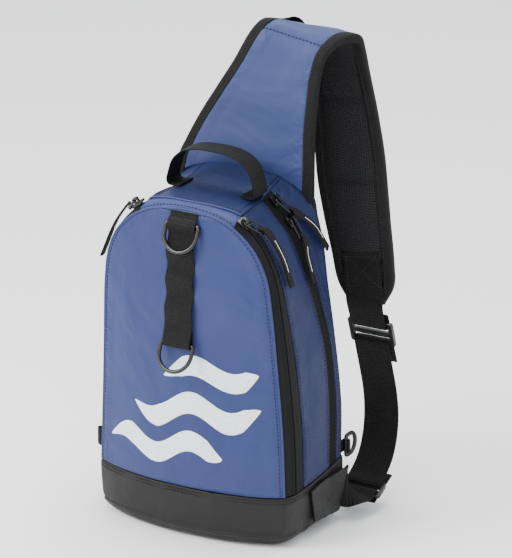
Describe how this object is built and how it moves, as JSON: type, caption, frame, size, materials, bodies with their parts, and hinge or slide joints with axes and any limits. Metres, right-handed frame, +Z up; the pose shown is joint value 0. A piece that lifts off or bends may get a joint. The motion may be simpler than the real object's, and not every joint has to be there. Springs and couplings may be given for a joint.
{
  "type": "fishing tackle sling bag",
  "caption": "One-shoulder sling bag with a D-shaped zipped front pocket, zipped main compartment, boot-like base, padded shoulder strap, webbing ladder and D-rings.",
  "frame": {"origin": "underside of the strap's fold, where it lies on the wearer's shoulder", "axes": "+X to the right seen from the front, +Y to the back that lies on the wearer, +Z up"},
  "size_m": [0.2582, 0.2152, 0.4827],
  "materials": {
    "navy_cloth": "coated woven nylon in slate blue, satin, lightly creased",
    "navy_gusset_cloth": "coated woven nylon in dark navy, satin, lightly creased",
    "navy_strap_cloth": "coated woven nylon in lighter slate blue, satin",
    "black_base_cloth": "heavy coated cloth in off-black, semi-matt with a fine grain",
    "black_mesh": "knitted spacer mesh, matt black",
    "zipper_tape": "woven zipper tape with a nylon coil, matt black",
    "black_binding": "ribbed grosgrain binding, matt black",
    "black_webbing": "woven nylon webbing, matt black with a slight sheen",
    "black_puller_cloth": "rubberised cord pull with a thin white reflective line",
    "ring_metal": "dark nickel plate, polished and slightly worn",
    "zip_metal": "dark nickel plate, satin",
    "black_plastic": "moulded black acetal, satin"
  },
  "bodies": {
    "bag": {"front_panel": "navy_cloth", "pocket_top": "navy_cloth", "side_gusset_right": "navy_gusset_cloth", "side_gusset_left": "navy_gusset_cloth", "rear_strip_right": "navy_gusset_cloth", "rear_strip_left": "navy_gusset_cloth", "top_gusset": "navy_gusset_cloth", "strap_panel": "navy_strap_cloth", "base": "black_base_cloth", "back_panel": "black_mesh", "strap_pad": "black_mesh", "front_zipper_tape_right": "zipper_tape", "front_zipper_tape_left": "zipper_tape", "rear_zipper_tape_right": "zipper_tape", "rear_zipper_tape_left": "zipper_tape", "strap_binding": "black_binding", "wing_right": "black_binding", "wing_left": "black_binding", "handle": "black_webbing", "front_webbing": "black_webbing", "side_ring_tab_right": "black_webbing", "side_loop_left": "black_webbing", "upper_webbing": "black_webbing", "main_webbing": "black_webbing", "wing_tab_right": "black_webbing", "puller_front_right": "black_puller_cloth", "puller_front_left": "black_puller_cloth", "puller_rear_upper": "black_puller_cloth", "puller_rear_lower": "black_puller_cloth", "slider_front_right": "zip_metal", "slider_front_left": "zip_metal", "slider_rear_upper": "zip_metal", "slider_rear_lower": "zip_metal", "pull_front_right": "zip_metal", "pull_front_left": "zip_metal", "pull_rear_upper": "zip_metal", "pull_rear_lower": "zip_metal", "tri_glide": "black_plastic", "lower_buckle": "black_plastic"},
    "upper_ring": {"upper_d_ring": "ring_metal"},
    "lower_ring": {"lower_d_ring": "ring_metal"},
    "side_ring": {"side_d_ring_right": "black_plastic"}
  },
  "joints": [
    {"name": "upper_ring_hinge", "type": "hinge", "parent": "bag", "child": "upper_ring", "pos_m": [-0.0565, -0.1583, -0.1524], "axis": [-1, 0, 0], "range_deg": [0, 125]},
    {"name": "lower_ring_hinge", "type": "hinge", "parent": "bag", "child": "lower_ring", "pos_m": [-0.0565, -0.1691, -0.2684], "axis": [-1, 0, 0], "range_deg": [0, 125]},
    {"name": "side_ring_hinge", "type": "hinge", "parent": "bag", "child": "side_ring", "pos_m": [0.0501, -0.0313, -0.3988], "axis": [0, 0, 1], "range_deg": [-75, 75]}
  ]
}
